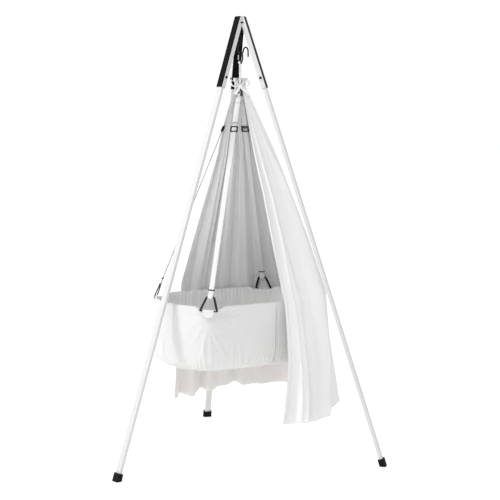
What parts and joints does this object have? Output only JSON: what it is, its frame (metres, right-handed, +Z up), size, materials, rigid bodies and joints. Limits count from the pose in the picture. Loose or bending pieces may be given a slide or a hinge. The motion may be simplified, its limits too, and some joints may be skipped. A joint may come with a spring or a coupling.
{
  "type": "hanging baby cradle with tripod stand",
  "caption": "Soft fabric baby cradle hung by webbing straps from a folding tripod stand, with a tall open-fronted veil.",
  "frame": {"origin": "centre of the bounding box's footprint, on the floor", "axes": "+Z up, +X along the cradle towards the end under the veil, +Y across the cradle away from the veil's open side"},
  "size_m": [1.0622, 1.0994, 1.807],
  "materials": {
    "white_paint": "satin white paint",
    "black_steel": "satin black paint",
    "black_wire": "semi-gloss black",
    "plain_steel": "plain",
    "black_rubber": "matt",
    "black_plastic": "matt",
    "webbing": "flat woven cotton webbing",
    "cotton": "plain woven cotton",
    "lining_cloth": "plain woven cotton",
    "mattress_cloth": "quilted cotton",
    "veil_cloth": "fine cotton voile",
    "wood_board": "plain plywood"
  },
  "bodies": {
    "head": {"hub": "black_steel", "fold_pin_left": "black_steel", "fold_pin_right": "black_steel", "fold_pin_back": "black_steel"},
    "stand_leg_left": {"leg_left": "white_paint", "bracket_left": "black_steel", "leg_bolt_left": "black_steel", "foot_left": "black_rubber"},
    "stand_leg_right": {"leg_right": "white_paint", "bracket_right": "black_steel", "leg_bolt_right": "black_steel", "foot_right": "black_rubber"},
    "stand_leg_back": {"leg_back": "white_paint", "bracket_back": "black_steel", "leg_bolt_back": "black_steel", "foot_back": "black_rubber"},
    "hook_body": {"hook": "black_wire", "hook_nut": "plain_steel"},
    "carabiner_body": {"carabiner": "black_wire"},
    "gate_body": {"carabiner_gate": "plain_steel"},
    "cradle_body": {"suspension_strap": "webbing", "strap_ring": "black_wire", "strap_junction": "webbing", "strap_front_left": "webbing", "keeper_front_left": "black_plastic", "ring_front_left": "black_wire", "tab_front_left": "webbing", "strap_front_right": "webbing", "keeper_front_right": "black_plastic", "ring_front_right": "black_wire", "tab_front_right": "webbing", "strap_back_left": "webbing", "keeper_back_left": "black_plastic", "ring_back_left": "black_wire", "tab_back_left": "webbing", "strap_back_right": "webbing", "keeper_back_right": "black_plastic", "ring_back_right": "black_wire", "tab_back_right": "webbing", "cover_front": "cotton", "cover_right": "cotton", "cover_back": "cotton", "cover_left": "cotton", "base_board": "wood_board", "mattress": "mattress_cloth", "lining": "lining_cloth", "veil": "veil_cloth", "veil_tie": "veil_cloth"},
    "adjuster_body_front_left": {"adjuster_front_left": "black_plastic"},
    "adjuster_body_front_right": {"adjuster_front_right": "black_plastic"},
    "adjuster_body_back_left": {"adjuster_back_left": "black_plastic"},
    "adjuster_body_back_right": {"adjuster_back_right": "black_plastic"}
  },
  "joints": [
    {"name": "fold_left", "type": "hinge", "parent": "head", "child": "stand_leg_left", "pos_m": [0.08456, -0.06288, 1.781], "axis": [0.1959, -0.9806, 0], "range_deg": [0, 0.5]},
    {"name": "fold_right", "type": "hinge", "parent": "head", "child": "stand_leg_right", "pos_m": [0.10753, -0.07066, 1.781], "axis": [0.7513, 0.66, 0], "range_deg": [0, 0.4]},
    {"name": "fold_back", "type": "hinge", "parent": "head", "child": "stand_leg_back", "pos_m": [0.10278, -0.04688, 1.781], "axis": [-0.9472, 0.3206, 0], "range_deg": [0, 0.5]},
    {"name": "hook_turn", "type": "hinge", "parent": "head", "child": "hook_body", "pos_m": [0.09829, -0.06014, 1.776], "axis": [0, 0, -1], "range_deg": [-15, 15]},
    {"name": "carabiner_swing", "type": "hinge", "parent": "hook_body", "child": "carabiner_body", "pos_m": [0.09829, -0.06014, 1.657], "axis": [1, 0, 0], "range_deg": [-1, 3]},
    {"name": "cradle_swing", "type": "hinge", "parent": "carabiner_body", "child": "cradle_body", "pos_m": [0.09829, -0.06014, 1.622], "axis": [0, 1, 0], "range_deg": [-2.5, 0.8]},
    {"name": "gate_open", "type": "hinge", "parent": "carabiner_body", "child": "gate_body", "pos_m": [0.09829, -0.04524, 1.631], "axis": [1, 0, 0], "range_deg": [0, 20], "stiffness_Nm_per_rad": 0.02, "springref_deg": -20.05},
    {"name": "adjust_front_left", "type": "slide", "parent": "cradle_body", "child": "adjuster_body_front_left", "axis": [0.285, 0.2349, 0.9293], "range_m": [-0.15, 0.02]},
    {"name": "adjust_front_right", "type": "slide", "parent": "cradle_body", "child": "adjuster_body_front_right", "axis": [-0.285, 0.2349, 0.9293], "range_m": [-0.15, 0.02]},
    {"name": "adjust_back_left", "type": "slide", "parent": "cradle_body", "child": "adjuster_body_back_left", "axis": [0.285, -0.2349, 0.9293], "range_m": [-0.15, 0.02]},
    {"name": "adjust_back_right", "type": "slide", "parent": "cradle_body", "child": "adjuster_body_back_right", "axis": [-0.285, -0.2349, 0.9293], "range_m": [-0.15, 0.02]}
  ]
}
